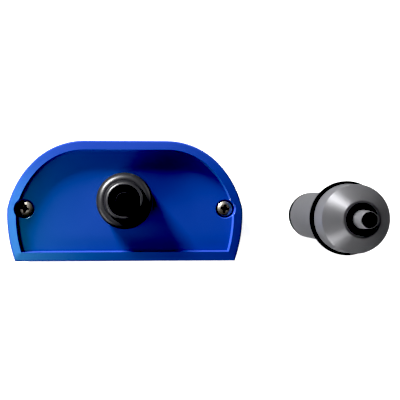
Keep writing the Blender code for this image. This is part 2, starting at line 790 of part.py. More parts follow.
def holder_head():
    bush_floor = Z_HEAD_LIP - HOLDER_BUSH_BELOW_LIP - BUSH_LENGTH - GAP
    edge = 0.4 * MM
    wire = O_RING_WIRE
    groove_middle = Z_HEAD - HEAD_SPIGOT / 2
    groove_floor = BARREL_FIT - 1.5 * wire
    profile = [
        (BUSH_SEAT, Z_HEAD_LIP),
        (HEAD_LIP_RADIUS, Z_HEAD_LIP),
        (HEAD_RADIUS - edge, Z_CONE),
        (HEAD_RADIUS, Z_CONE - edge),
        (HEAD_RADIUS, Z_HEAD + edge),
        (HEAD_RADIUS - edge, Z_HEAD),
        (BARREL_FIT, Z_HEAD),
        (BARREL_FIT, groove_middle + wire + FIT),
        (groove_floor, groove_middle + wire + FIT),
        (groove_floor, groove_middle - wire - FIT),
        (BARREL_FIT, groove_middle - wire - FIT),
        (BARREL_FIT, Z_HEAD_SPIGOT),
        (COLLAR_BORE, Z_HEAD_SPIGOT),
        (COLLAR_BORE, bush_floor),
        (BUSH_SEAT, bush_floor),
    ]
    turned("holder_head", profile, HOLDER, GREY, LARGE_STEPS)
    section_radius = (groove_floor + BARREL_BORE) / 2
    section_wire = (BARREL_BORE - groove_floor) / 2 - FIT / 2
    o_ring("head_o_ring", section_radius, section_wire, groove_middle, HOLDER)


# ---------------------------------------------------------------- assembly


def build():
    wiper_housing()
    magnets_and_tray()
    housing_seal()
    wiper_pad()
    cover_screws()
    handle_post()
    post_nut()
    wiper_plunger()
    holder_pad_and_end_cap()
    holder_magnets()
    spring_sleeve()
    holder_barrel()
    holder_head()
    holder_plunger()


build()
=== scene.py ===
import json
import math

import bpy
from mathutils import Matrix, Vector

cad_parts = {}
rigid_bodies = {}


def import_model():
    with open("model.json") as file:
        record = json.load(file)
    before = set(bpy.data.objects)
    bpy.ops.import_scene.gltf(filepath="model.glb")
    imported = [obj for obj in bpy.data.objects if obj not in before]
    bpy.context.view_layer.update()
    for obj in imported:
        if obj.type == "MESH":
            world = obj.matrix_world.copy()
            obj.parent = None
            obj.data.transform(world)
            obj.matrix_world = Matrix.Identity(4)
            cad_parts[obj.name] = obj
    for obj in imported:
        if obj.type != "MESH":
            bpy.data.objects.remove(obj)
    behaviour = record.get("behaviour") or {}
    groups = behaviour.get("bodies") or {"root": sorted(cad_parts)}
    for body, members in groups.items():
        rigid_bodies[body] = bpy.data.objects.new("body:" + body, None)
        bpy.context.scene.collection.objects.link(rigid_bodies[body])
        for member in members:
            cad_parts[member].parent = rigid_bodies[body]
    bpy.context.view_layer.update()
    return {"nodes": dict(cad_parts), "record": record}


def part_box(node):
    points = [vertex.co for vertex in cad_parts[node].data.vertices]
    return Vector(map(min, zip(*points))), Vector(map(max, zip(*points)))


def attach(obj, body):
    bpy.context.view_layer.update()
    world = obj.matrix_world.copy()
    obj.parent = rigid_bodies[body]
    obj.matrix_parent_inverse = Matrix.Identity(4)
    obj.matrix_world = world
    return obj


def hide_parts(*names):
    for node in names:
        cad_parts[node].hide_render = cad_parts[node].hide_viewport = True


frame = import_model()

MM = 0.001

# ---------------------------------------------------------------- sizes, in millimetres

# The D outline, as arcs that run up each side from the straight edge.
HOUSING_WIDTH = 115.7
HOUSING_DEPTH = 59.2
CROWN_RADIUS = 35.7
FLANK_RADIUS = 46.2
SKIRT_RADIUS = 71.0
CROWN_SWEEP = math.radians(45)
WIDEST_BELOW_CENTRE = 6.4
SCREW_BELOW_CENTRE = 3.95
SCREW_INSET = 8.45

HOUSING_WALL = 2.5
RIM_WIDTH = 4.5
RIM_HEIGHT = 3.0
RIM_DRAFT = 0.45  # how far the rim's inner wall leans outwards over its height
RIM_ROUNDING = 0.9
RIM_FALL = 0.6  # how much lower the rim's outer side is than its inner side
SLOPE_SPARE = 1.5  # how far the rim's slope runs on inwards, to where the pocket cuts it off
TRAY_GAP = 0.2  # between the tray and the housing's wall
TRAY_HEADROOM = 0.3
PAD_INSET = 1.2  # how far the pad keeps inside the D outline
PAD_ROUNDING = 0.35

# The screws and their holes.
COUNTERBORE_RADIUS = 4.55
COUNTERBORE_CHAMFER = 0.3
COUNTERBORE_DEPTH = 3.6
SHANK_HOLE_RADIUS = 2.2
SHANK_RADIUS = 2.0
SHANK_END_RADIUS = 1.0
SHANK_TAPER = 1.0
SCREW_HEAD_RADIUS = 4.0
SCREW_HEAD_HEIGHT = 2.9
CROSS_TURN = math.radians(-10.5)
CROSS_SPAN = 5.6
CROSS_WIDTH = 1.45
CROSS_DEPTH = 1.9
CROSS_POINT_RADIUS = 1.3
CROSS_POINT_DEPTH = 2.4

# The post: a lip round its mouth, a brow below that, a waist and a flared foot.
POST_HOLE_RADIUS = 8.2
POST_SPIGOT_RADIUS = 8.0
POST_FOOT_RADIUS = 13.0
POST_FOOT_HEIGHT = 3.4
POST_FOOT_GAP = 0.3
LIP_RADIUS = 7.1
BROW_RADIUS = 9.6
BROW_EDGE_RADIUS = 12.2
BROW_DROP = 3.2
BROW_HEIGHT = 9.0
WAIST_RADIUS = 10.3
WELL_DEPTH = 10.7  # from the lip down to the floor that the pin comes up through

# What the two halves share: a bush in the mouth, and a pin with a collar, a rod and a foot.
MOUTH_RADIUS = 6.65
BUSH_BORE = 4.25
BUSH_LEAD_IN = 0.3
BUSH_CHAMFER = 0.9
PIN_TOP_RADIUS = 3.6
PIN_RADIUS = 4.0
COLLAR_RADIUS = 5.2
COLLAR_HEIGHT = 3.0
SOCKET_RADIUS = 2.2
PIN_SOCKET_DEPTH = 10.0
ROD_RADIUS = 2.0
ROD_CHAMFER = 0.3
ROD_HOLE_RADIUS = 2.25
FOOT_RADIUS = 4.0
FOOT_SOCKET_DEPTH = 1.9
FOOT_HOLE_RADIUS = 4.5
FOOT_HOLE_DEPTH = 1.6

# The holder half.
BARREL_RADIUS = 11.85
BARREL_BORE = 10.05
BARREL_CHAMFER = 0.3
SPIGOT_RADIUS = 9.85  # of the head and of the end cap, inside the barrel
CAP_SEAM = 0.3  # the line that shows between the end cap and the barrel
HOLDER_PAD_RADIUS = 11.35
BUMPER_RADIUS = 16.3
BUMPER_BORE = 12.05
HEAD_RADIUS = 15.05
HEAD_TOP_RADIUS = 7.8
HEAD_BORE = 5.45
CONE_RADIUS = 14.3
CONE_HEIGHT = 6.6
SPIGOT_LENGTH = 6.0
INLAY_RADIUS = 2.7
INLAY_HOLE_RADIUS = 2.95
INLAY_THICKNESS = 0.8
INLAY_HOLE_DEPTH = 1.0

EDGE = 0.25  # the small rounding on a moulded edge
CAP_RADIUS = 0.3  # the innermost loop of a shape that is closed across its axis
WIDE_CAP_RADIUS = 0.4
PAST = 1.0  # how far a cutter reaches past what it cuts
HAIR = 0.1  # a small step between two faces that would otherwise meet in one plane

# How finely round shapes are divided.
ROUND_STEPS = 96
FINE_STEPS = 144
ROD_STEPS = 48
FOOT_STEPS = 64
WAIST_STEPS = 28
RIM_STEPS = 6
ARC_STEP = math.radians(2.5)
SMOOTH_ANGLE = math.radians(32)
SHELL_SMOOTH_ANGLE = math.radians(25)
MOST_OF_A_SIDE = 0.48  # how much of a profile's side one rounding may take
SAME_HEIGHT = 1e-5  # in metres
FACES_UP = 0.9  # how much of a face's normal points up or down when it counts as level

# ---------------------------------------------------------------- light and view

# Sizes are in metres, unless they say otherwise.
FLOOR_SIZE = 6.0
FLOOR_GLOW = 0.9
WALL_RADIUS = 4.0
WALL_GLOW = 1.0
AMBIENT = 0.03
DOME_RADIUS = 0.9  # how far the lamps stand from the middle of the object
DOME_MIDDLE_HEIGHT = 0.03
BLACK_POINT = 0.028  # the brightness that is shown as black
CAMERA_HEIGHT = 0.318
CAMERA_ASIDE = 4.04  # how far right of the post, in millimetres
CAMERA_LEAN = math.radians(-2.835)
HOLDER_SIDE = 10  # how far right of the middle between the halves the holder starts, in mm


# ---------------------------------------------------------------- where the CAD puts things


def middle(node):
    low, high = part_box(node)
    return (low + high) / 2


def low_z(node):
    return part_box(node)[0].z / MM


def high_z(node):
    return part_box(node)[1].z / MM


POST = middle("release_rod") / MM
HOLDER = middle("holder_rod") / MM
Z_TRAY = low_z("wiper_housing")
Z_RIM = high_z("wiper_housing")
Z_FACE = Z_RIM - RIM_HEIGHT
SCREW_X = HOUSING_WIDTH / 2 - SCREW_INSET
SCREW_Y = -SCREW_BELOW_CENTRE
SIDES = (("left", -1), ("right", 1))


# ---------------------------------------------------------------- modelling helpers


def only(piece):
    bpy.ops.object.select_all(action="DESELECT")
    piece.select_set(True)
    bpy.context.view_layer.objects.active = piece


def start_editing(piece, kind="VERT"):
    only(piece)
    bpy.ops.object.mode_set(mode="EDIT")
    bpy.ops.mesh.select_mode(type=kind)
    bpy.ops.mesh.select_all(action="SELECT")


def stop_editing():
    bpy.ops.object.mode_set(mode="OBJECT")


def settle(piece, name, body, angle=SMOOTH_ANGLE):
    """Puts the piece's place into its mesh, shades it, names it and lets it ride on its body."""
    only(piece)
    bpy.ops.object.transform_apply(location=True, rotation=True, scale=True)
    bpy.ops.object.shade_smooth_by_angle(angle=angle)
    piece.name = name
    piece.data.name = name
    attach(piece, body)


def apply_modifier(piece, kind, **settings):
    only(piece)
    step = piece.modifiers.new(kind.lower(), kind)
    for setting, value in settings.items():
        setattr(step, setting, value)
    bpy.ops.object.modifier_apply(modifier=step.name)


def cut_away(piece, cutter):
    """Cuts the cutter out of the piece. What the cut lays bare takes the cutter's material."""
    apply_modifier(
        piece,
        "BOOLEAN",
        operation="DIFFERENCE",
        object=cutter,
        solver="EXACT",
        material_mode="TRANSFER",
    )
    bpy.data.objects.remove(cutter)


def soften_edges(piece, width, segments=3, angle=math.radians(40)):
    apply_modifier(
        piece,
        "BEVEL",
        width=width * MM,
        segments=segments,
        limit_method="ANGLE",
        angle_limit=angle,
        harden_normals=False,
        use_clamp_overlap=True,
    )


def rounded(corners, steps=4):
    """A run of (radius, height, rounding) corners as points, each corner drawn as an arc."""
    points = []
    for i, (r, z, rounding) in enumerate(corners):
        here = Vector((r, z))
        if rounding == 0 or i in (0, len(corners) - 1):
            points.append((r, z))
            continue
        back = Vector(corners[i - 1][:2]) - here
        ahead = Vector(corners[i + 1][:2]) - here
        half = back.angle(ahead) / 2
        shortest = min(back.length, ahead.length)
        reach = min(rounding / math.tan(half), MOST_OF_A_SIDE * shortest)
        radius = reach * math.tan(half)
        centre = here + (back.normalized() + ahead.normalized()).normalized() * (
            radius / math.sin(half)
        )
        start = here + back.normalized() * reach - centre
        end = here + ahead.normalized() * reach - centre
        turn = math.atan2(start.x * end.y - start.y * end.x, start.dot(end))
        for k in range(steps + 1):
            angle = turn * k / steps
            x = start.x * math.cos(angle) - start.y * math.sin(angle)
            y = start.x * math.sin(angle) + start.y * math.cos(angle)
            points.append((centre.x + x, centre.y + y))
    return points


def rolled(r, z, out, down, start, steps=14):
    """A quarter of an ellipse as (radius, height) points: a crest at r, z that rolls over
    outwards and down. It starts before the crest by the given angle."""
    points = []
    for k in range(steps + 1):
        angle = start + (math.pi / 2 - start) * k / steps
        points.append((r + out * math.sin(angle), z - down * (1 - math.cos(angle))))
    return points


def turned(axis, profile, steps=ROUND_STEPS, ring=False):
    """A turned shape in millimetres: a circle extruded ring by ring along (radius, height)
    points. A ring's last loop is bridged to its first, and any other shape is capped."""
    radius, height = profile[0]
    bpy.ops.object.select_all(action="DESELECT")
    bpy.ops.mesh.primitive_circle_add(
        vertices=steps, radius=radius * MM, location=(axis.x * MM, axis.y * MM, height * MM)
    )
    piece = bpy.context.object
    start_editing(piece, "EDGE")
    for next_radius, next_height in profile[1:]:
        rise = (next_height - height) * MM
        bpy.ops.mesh.extrude_edges_move(TRANSFORM_OT_translate={"value": (0, 0, rise)})
        share = next_radius / radius
        bpy.ops.transform.resize(
            value=(share, share, 1), center_override=(axis.x * MM, axis.y * MM, 0)
        )
        radius, height = next_radius, next_height
    bpy.ops.mesh.select_all(action="DESELECT")
    bpy.ops.mesh.select_non_manifold(extend=False)
    if ring:
        bpy.ops.mesh.bridge_edge_loops()
    else:
        bpy.ops.mesh.fill_holes(sides=0)
    bpy.ops.mesh.select_all(action="SELECT")
    bpy.ops.mesh.normals_make_consistent(inside=False)
    stop_editing()
    return piece


def cylinder(centre, radius, low, high, steps=ROUND_STEPS):
    bpy.ops.object.select_all(action="DESELECT")
    bpy.ops.mesh.primitive_cylinder_add(
        vertices=steps,
        radius=radius * MM,
        depth=(high - low) * MM,
        location=(centre.x * MM, centre.y * MM, (low + high) / 2 * MM),
    )
    return bpy.context.object


# ---------------------------------------------------------------- the D outline


def arc_centres():
    reach = FLANK_RADIUS - CROWN_RADIUS
    crown_y = HOUSING_DEPTH / 2 - CROWN_RADIUS
    flank_y = crown_y - reach * math.sin(CROWN_SWEEP)
    skirt = Vector((HOUSING_WIDTH / 2 - SKIRT_RADIUS, -WIDEST_BELOW_CENTRE))
    screw_side = skirt.x + math.sqrt(SKIRT_RADIUS**2 - (SCREW_Y - skirt.y) ** 2)
    flank_x = screw_side - math.sqrt(FLANK_RADIUS**2 - (SCREW_Y - flank_y) ** 2)
    crown_x = flank_x + reach * math.cos(CROWN_SWEEP)
    return Vector((crown_x, crown_y)), Vector((flank_x, flank_y)), skirt


def crossing(first, first_radius, second, second_radius):
    """The right-hand point where two circles cross."""
    apart = (second - first).length
    step = (apart**2 + first_radius**2 - second_radius**2) / (2 * apart)
    height = math.sqrt(first_radius**2 - step**2)
    unit = (second - first).normalized()
    across = Vector((-unit.y, unit.x)) * height
    foot = first + unit * step
    return max(foot + across, foot - across, key=lambda point: point.x)


def swing(centre, start, end, height):
    """Spins the selected point round a centre from one angle to another, anticlockwise."""
    bpy.ops.mesh.spin(
        steps=max(2, round((end - start) / ARC_STEP)),
        angle=-(end - start),
        center=((POST.x + centre.x) * MM, (POST.y + centre.y) * MM, height * MM),
        axis=(0, 0, 1),
    )


def d_sheet(inset, height):
    """A flat D-shaped face: half its edge is drawn by spinning a point, then mirrored."""
    crown, flank, skirt = arc_centres()
    bottom = -HOUSING_DEPTH / 2 + inset
    kink = crossing(flank, FLANK_RADIUS - inset, skirt, SKIRT_RADIUS - inset)
    corner_x = skirt.x + math.sqrt((SKIRT_RADIUS - inset) ** 2 - (bottom - skirt.y) ** 2)
    corner_angle = math.atan2(bottom - skirt.y, corner_x - skirt.x)
    kink_on_skirt = math.atan2(kink.y - skirt.y, kink.x - skirt.x)
    kink_on_flank = math.atan2(kink.y - flank.y, kink.x - flank.x)
    bpy.ops.object.select_all(action="DESELECT")
    bpy.ops.mesh.primitive_plane_add(
        size=MM, location=(POST.x * MM, (POST.y + bottom) * MM, height * MM)
    )
    sheet = bpy.context.object
    start_editing(sheet)
    bpy.ops.mesh.merge(type="CENTER")
    bpy.ops.mesh.extrude_vertices_move(TRANSFORM_OT_translate={"value": (corner_x * MM, 0, 0)})
    swing(skirt, corner_angle, kink_on_skirt, height)
    swing(flank, kink_on_flank, CROWN_SWEEP, height)
    swing(crown, CROWN_SWEEP, math.pi / 2, height)
    bpy.ops.mesh.extrude_vertices_move(TRANSFORM_OT_translate={"value": (-crown.x * MM, 0, 0)})
    stop_editing()
    apply_modifier(sheet, "MIRROR", use_axis=(True, False, False), merge_threshold=1e-5)
    bpy.ops.object.transform_apply(location=True)
    start_editing(sheet)
    bpy.ops.mesh.remove_doubles(threshold=1e-6)
    bpy.ops.mesh.select_all(action="SELECT")
    bpy.ops.mesh.edge_face_add()
    stop_editing()
    return sheet


def d_slab(inset, low, high):
    """A D-shaped slab between two heights."""
    slab = d_sheet(inset, low)
    start_editing(slab, "FACE")
    bpy.ops.mesh.extrude_region_move(TRANSFORM_OT_translate={"value": (0, 0, (high - low) * MM)})
    bpy.ops.mesh.select_all(action="SELECT")
    bpy.ops.mesh.normals_make_consistent(inside=False)
    stop_editing()
    return slab


def edit_flat_faces(piece, height, facing):
    """Opens a piece in edit mode with just its level faces at one height selected."""
    if bpy.context.mode != "OBJECT":
        stop_editing()
    start_editing(piece, "FACE")
    bpy.ops.mesh.select_all(action="DESELECT")
    stop_editing()
    for face in piece.data.polygons:
        level = abs(face.center.z - height * MM) < SAME_HEIGHT
        face.select = level and face.normal.z * facing > FACES_UP
    bpy.ops.object.mode_set(mode="EDIT")


# ---------------------------------------------------------------- the wiper half


def screw_centre(side):
    return Vector((POST.x + side * SCREW_X, POST.y + SCREW_Y, 0))


def pocket():
    """What the raised rim stands round: its wall leans outwards a little towards the top."""
    foot_inset = RIM_WIDTH + RIM_DRAFT
    room = d_slab(foot_inset, Z_FACE, Z_RIM)
    edit_flat_faces(room, Z_RIM, 1)
    lean_x = (HOUSING_WIDTH - 2 * RIM_WIDTH) / (HOUSING_WIDTH - 2 * foot_inset)
    lean_y = (HOUSING_DEPTH - 2 * RIM_WIDTH) / (HOUSING_DEPTH - 2 * foot_inset)
    centre = (POST.x * MM, POST.y * MM, 0)
    bpy.ops.transform.resize(value=(lean_x, lean_y, 1), center_override=centre)
    bpy.ops.mesh.extrude_region_move(TRANSFORM_OT_translate={"value": (0, 0, MM)})
    stop_editing()
    return room


def screw_hole(centre):
    """A cutter for a screw's stepped hole, with a small chamfer at its mouth."""
    seat = Z_FACE - COUNTERBORE_DEPTH
    wide = COUNTERBORE_RADIUS + COUNTERBORE_CHAMFER + HAIR
    return turned(
        centre,
        [
            (SHANK_HOLE_RADIUS, Z_TRAY - PAST),
            (SHANK_HOLE_RADIUS, seat),
            (COUNTERBORE_RADIUS, seat),
            (COUNTERBORE_RADIUS, Z_FACE - COUNTERBORE_CHAMFER),
            (wide, Z_FACE + HAIR),
            (wide, Z_RIM + PAST),
        ],
    )


def slope_rim(shell):
    """Raises the top of the shell inwards from its outline, so that the rim slopes."""
    slope_width = RIM_WIDTH + SLOPE_SPARE
    slope_rise = RIM_FALL * slope_width / RIM_WIDTH
    edit_flat_faces(shell, Z_RIM - RIM_FALL, 1)
    bpy.ops.mesh.extrude_region_move(TRANSFORM_OT_translate={"value": (0, 0, slope_rise * MM)})
    share_x = 1 - 2 * slope_width / HOUSING_WIDTH
    share_y = 1 - 2 * slope_width / HOUSING_DEPTH
    centre = (POST.x * MM, POST.y * MM, 0)
    bpy.ops.transform.resize(value=(share_x, share_y, 1), center_override=centre)
    stop_editing()


def round_outline(shell):
    """Rounds the outer edge of the rim's top."""
    start_editing(shell, "EDGE")
    bpy.ops.mesh.select_all(action="DESELECT")
    stop_editing()
    outline = (Z_RIM - RIM_FALL) * MM
    for edge in shell.data.edges:
        ends = [shell.data.vertices[i].co.z for i in edge.vertices]
        edge.select = all(abs(z - outline) < SAME_HEIGHT for z in ends)
    bpy.ops.object.mode_set(mode="EDIT")
    bpy.ops.mesh.bevel(offset=RIM_ROUNDING * MM, segments=RIM_STEPS, affect="EDGES")
    stop_editing()


def housing():
    shell = d_slab(0, Z_TRAY, Z_RIM - RIM_FALL)
    slope_rim(shell)
    round_outline(shell)
    cut_away(shell, pocket())
    cut_away(shell, d_slab(HOUSING_WALL, Z_TRAY - PAST, high_z("magnet_tray") + TRAY_HEADROOM))
    for _, side in SIDES:
        cut_away(shell, screw_hole(screw_centre(side)))
    cut_away(shell, cylinder(POST, POST_HOLE_RADIUS, Z_TRAY - PAST, Z_RIM + PAST))
    soften_edges(shell, EDGE)
    settle(shell, "housing_shell", "wiper", SHELL_SMOOTH_ANGLE)
    # The large flat faces set the shading round them, so that they look flat themselves.
    apply_modifier(shell, "WEIGHTED_NORMAL", weight=100, keep_sharp=True)
    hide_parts("wiper_housing")
    return shell


def tray():
    slab = d_slab(HOUSING_WALL + TRAY_GAP, Z_TRAY, high_z("magnet_tray"))
    cut_away(slab, cylinder(POST, ROD_HOLE_RADIUS, Z_TRAY - PAST, Z_RIM))
    soften_edges(slab, EDGE)
    settle(slab, "tray_bottom", "wiper")
    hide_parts("magnet_tray")
    return slab


def pad_layer(node, name):
    low, high = low_z(node), high_z(node)
    slab = d_slab(PAD_INSET, low, high)
    cut_away(slab, cylinder(POST, FOOT_HOLE_RADIUS, low - PAST, high + PAST))
    soften_edges(slab, PAD_ROUNDING)
    settle(slab, name, "wiper")
    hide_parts(node)
    return slab


def screw(word, side):
    """A pan-head screw with a cross recess."""
    node = "cover_screw_" + word
    centre = screw_centre(side)
    top, low = high_z(node), low_z(node)
    seat = top - SCREW_HEAD_HEIGHT
    crown_radius, crown_drop = SCREW_HEAD_RADIUS * 0.6, 0.12
    brow_radius, brow_drop = SCREW_HEAD_RADIUS - 0.2, 0.55
    side_drop = 1.2
    profile = rounded(
        [
            (CAP_RADIUS, top, 0),
            (crown_radius, top - crown_drop, 2.0),
            (brow_radius, top - brow_drop, 0.7),
            (SCREW_HEAD_RADIUS, top - side_drop, 0.5),
            (SCREW_HEAD_RADIUS, seat, 0.15),
            (SHANK_RADIUS, seat, 0.2),
            (SHANK_RADIUS, low + SHANK_TAPER, 0.4),
            (SHANK_END_RADIUS, low, 0),
        ],
        steps=6,
    )
    piece = turned(centre, profile)
    dress(piece, slots["stainless_steel"])
    for quarter in (0, 1):
        cut_away(piece, cross_arm(centre, top, CROSS_TURN + quarter * math.pi / 2))
    cut_away(piece, cross_point(centre, top))
    soften_edges(piece, width=0.08, segments=2)
    settle(piece, "cross_screw_" + word, "wiper")
    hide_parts(node)


def cross_arm(centre, top, turn):
    """A bar of the cross recess, narrower and shorter at its bottom."""
    middle_point = (centre.x * MM, centre.y * MM, top * MM)
    bottom_span, bottom_width = 0.5, 0.6
    bpy.ops.object.select_all(action="DESELECT")
    bpy.ops.mesh.primitive_cube_add(size=1, location=middle_point, rotation=(0, 0, turn))
    arm = bpy.context.object
    arm.scale = (CROSS_SPAN * MM, CROSS_WIDTH * MM, CROSS_DEPTH * 2 * MM)
    bpy.ops.object.transform_apply(location=False, rotation=False, scale=True)
    start_editing(arm)
    bpy.ops.mesh.select_all(action="DESELECT")
    stop_editing()
    for corner in arm.data.vertices:
        corner.select = corner.co.z < 0
    bpy.ops.object.mode_set(mode="EDIT")
    bpy.ops.transform.resize(
        value=(bottom_span, bottom_width, 1),
        orient_type="LOCAL",
        center_override=middle_point,
    )
    stop_editing()
    # The bar gives the faces it cuts a nearly black steel: painted shade in the cross recess.
    dress(arm, recess)
    return arm


def cross_point(centre, top):
    """The cone at the middle of the recess, for the driver's point."""
    bpy.ops.object.select_all(action="DESELECT")
    bpy.ops.mesh.primitive_cone_add(
        vertices=32,
        radius1=CAP_RADIUS * MM,
        radius2=CROSS_POINT_RADIUS * MM,
        depth=CROSS_POINT_DEPTH * MM,
        location=(centre.x * MM, centre.y * MM, (top - CROSS_POINT_DEPTH / 2 + HAIR) * MM),
    )
    # The cone gives its cut a nearly black steel too: painted shade at the middle of the recess.
    dress(bpy.context.object, recess)
    return bpy.context.object


def waist(top, low):
    """The grip's side as (radius, height) points, bowed in between the brow and the foot."""
    points = []
    for i in range(1, WAIST_STEPS):
        share = i / WAIST_STEPS
        widest = BROW_EDGE_RADIUS + (POST_FOOT_RADIUS - BROW_EDGE_RADIUS) * share
        bow = math.sin(math.pi * share) ** 2
        points.append((widest + (WAIST_RADIUS - widest) * bow, top + (low - top) * share))
    return points


def post():
    top, bottom = high_z("handle_post"), low_z("handle_post")
    foot = Z_FACE + POST_FOOT_GAP
    well = top - WELL_DEPTH
    brow_top = top - BROW_DROP
    waist_top = brow_top - BROW_HEIGHT
    waist_low = foot + POST_FOOT_HEIGHT
    mouth = [(MOUTH_RADIUS, top - 3.0), (MOUTH_RADIUS, top - 0.25)]
    lip = rolled(LIP_RADIUS, top, out=1.6, down=2.7, start=math.radians(-14))
    brow = rolled(BROW_RADIUS, brow_top, out=2.6, down=3.0, start=math.radians(-20), steps=24)
    side = [(BROW_EDGE_RADIUS, waist_top)] + waist(waist_top, waist_low)
    base = rounded(
        [
            (POST_FOOT_RADIUS, waist_low, 0),
            (POST_FOOT_RADIUS, foot, 0.4),
            (POST_SPIGOT_RADIUS, foot, 0.2),
            (POST_SPIGOT_RADIUS, bottom, 0.3),
            (ROD_HOLE_RADIUS, bottom, 0.2),
            (ROD_HOLE_RADIUS, well, 0.2),
            (MOUTH_RADIUS, well, 0),
        ]
    )
    grip = turned(POST, mouth + lip + brow + side + base, FINE_STEPS, ring=True)
    settle(grip, "post_grip", "wiper")
    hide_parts("handle_post")
    return grip


def bush(node, name, axis, body):
    top, low = high_z(node), low_z(node)
    outer = (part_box(node)[1].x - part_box(node)[0].x) / 2 / MM
    profile = rounded(
        [
            (outer, low, 0),
            (outer, top - BUSH_CHAMFER, 0.3),
            (outer - BUSH_CHAMFER, top, 0.3),
            (BUSH_BORE + BUSH_LEAD_IN, top, 0.2),
            (BUSH_BORE, top - BUSH_LEAD_IN, 0.2),
            (BUSH_BORE, low, 0),
        ],
        steps=5,
    )
    piece = turned(axis, profile, ring=True)
    settle(piece, name, body)
    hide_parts(node)
    return piece


def plunger_rod(node, name, axis, body):
    top, low = high_z(node), low_z(node)
    profile = rounded(
        [
            (ROD_RADIUS - ROD_CHAMFER, top, 0),
            (ROD_RADIUS, top - ROD_CHAMFER, 0.1),
            (ROD_RADIUS, low + ROD_CHAMFER, 0.1),
            (ROD_RADIUS - ROD_CHAMFER, low, 0),
        ]
    )
    piece = turned(axis, profile, ROD_STEPS)
    settle(piece, name, body)
    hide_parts(node)
    return piece


def plunger_foot(node, name, axis, body):
    top, low = high_z(node), low_z(node)
    tread_radius, tread_rise = 3.4, 0.7
    neck_radius, neck_drop = 3.5, 0.6
    socket = top - FOOT_SOCKET_DEPTH
    profile = rounded(
        [
            (WIDE_CAP_RADIUS, low, 0),
            (tread_radius, low, 0.6),
            (FOOT_RADIUS, low + tread_rise, 0.6),
            (FOOT_RADIUS, top - neck_drop, 0.4),
            (neck_radius, top, 0.4),
            (SOCKET_RADIUS, top, 0.2),
            (SOCKET_RADIUS, socket, 0.2),
            (CAP_RADIUS, socket, 0),
        ],
        steps=5,
    )
    piece = turned(axis, profile, FOOT_STEPS)
    settle(piece, name, body)
    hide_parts(node)
    return piece


def pin_base(low):
    """The lower corners of a pin: its collar, and the socket in it for the rod."""
    collar = low + COLLAR_HEIGHT
    return [
        (PIN_RADIUS, collar, 0.1),
        (COLLAR_RADIUS, collar, 0.2),
        (COLLAR_RADIUS, low, 0.2),
        (SOCKET_RADIUS, low, 0.2),
        (SOCKET_RADIUS, low + PIN_SOCKET_DEPTH, 0),
    ]


def release_button():
    top, low = high_z("release_button"), low_z("release_button")
    crown_radius, crown_drop = 3.35, 0.28
    taper_end = low + COLLAR_HEIGHT + 0.3
    profile = rounded(
        [
            (WIDE_CAP_RADIUS, top, 0),
            (crown_radius, top, 0.12),
            (PIN_TOP_RADIUS, top - crown_drop, 0.12),
            (PIN_RADIUS, taper_end, 0),
        ]
        + pin_base(low)
    )
    piece = turned(POST, profile)
    settle(piece, "release_pin", "release_plunger")
    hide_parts("release_button")
    return piece


# ---------------------------------------------------------------- the holder half


def barrel():
    top, low = high_z("holder_barrel"), low_z("holder_barrel")
    profile = rounded(
        [
            (BARREL_BORE, low, 0),
            (BARREL_RADIUS - BARREL_CHAMFER, low, 0.1),
            (BARREL_RADIUS, low + BARREL_CHAMFER, 0.15),
            (BARREL_RADIUS, top, 0.1),
            (BARREL_BORE, top, 0),
        ]
    )
    piece = turned(HOLDER, profile, FINE_STEPS, ring=True)
    settle(piece, "barrel_tube", "holder")
    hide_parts("holder_barrel")
    return piece


def end_cap():
    top, low = high_z("barrel_end_cap"), low_z("barrel_end_cap")
    seam = low_z("holder_barrel") - CAP_SEAM
    foot_room = low + FOOT_HOLE_DEPTH
    profile = rounded(
        [
            (SPIGOT_RADIUS, top, 0.2),
            (SPIGOT_RADIUS, seam, 0.1),
            (BARREL_RADIUS, seam, 0.25),
            (BARREL_RADIUS, low, 0.3),
            (FOOT_HOLE_RADIUS, low, 0.2),
            (FOOT_HOLE_RADIUS, foot_room, 0.2),
            (ROD_HOLE_RADIUS, foot_room, 0.2),
            (ROD_HOLE_RADIUS, top, 0),
        ]
    )
    piece = turned(HOLDER, profile, ring=True)
    settle(piece, "end_plug", "holder")
    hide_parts("barrel_end_cap")
    return piece


def holder_pad():
    top = high_z("holder_felt")
    profile = rounded(
        [
            (FOOT_HOLE_RADIUS, 0, 0),
            (HOLDER_PAD_RADIUS, 0, 0.4),
            (HOLDER_PAD_RADIUS, top, 0.4),
            (FOOT_HOLE_RADIUS, top, 0.3),
            (FOOT_HOLE_RADIUS, HAIR, 0),
        ]
    )
    # The first corner is there only to give the second one its rounding.
    piece = turned(HOLDER, profile[1:], ring=True)
    settle(piece, "holder_pad", "holder")
    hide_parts("holder_felt")
    return piece


def bumper():
    top, low = high_z("bumper_ring"), low_z("bumper_ring")
    profile = rounded(
        [
            (BUMPER_BORE, top, 0),
            (BUMPER_RADIUS, top, 0.5),
            (BUMPER_RADIUS, low, 0.5),
            (BUMPER_BORE, low, 0.3),
            (BUMPER_BORE, top - PAST, 0),
        ],
        steps=6,
    )
    piece = turned(HOLDER, profile, FINE_STEPS, ring=True)
    settle(piece, "rubber_bumper", "holder")
    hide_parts("bumper_ring")
    return piece


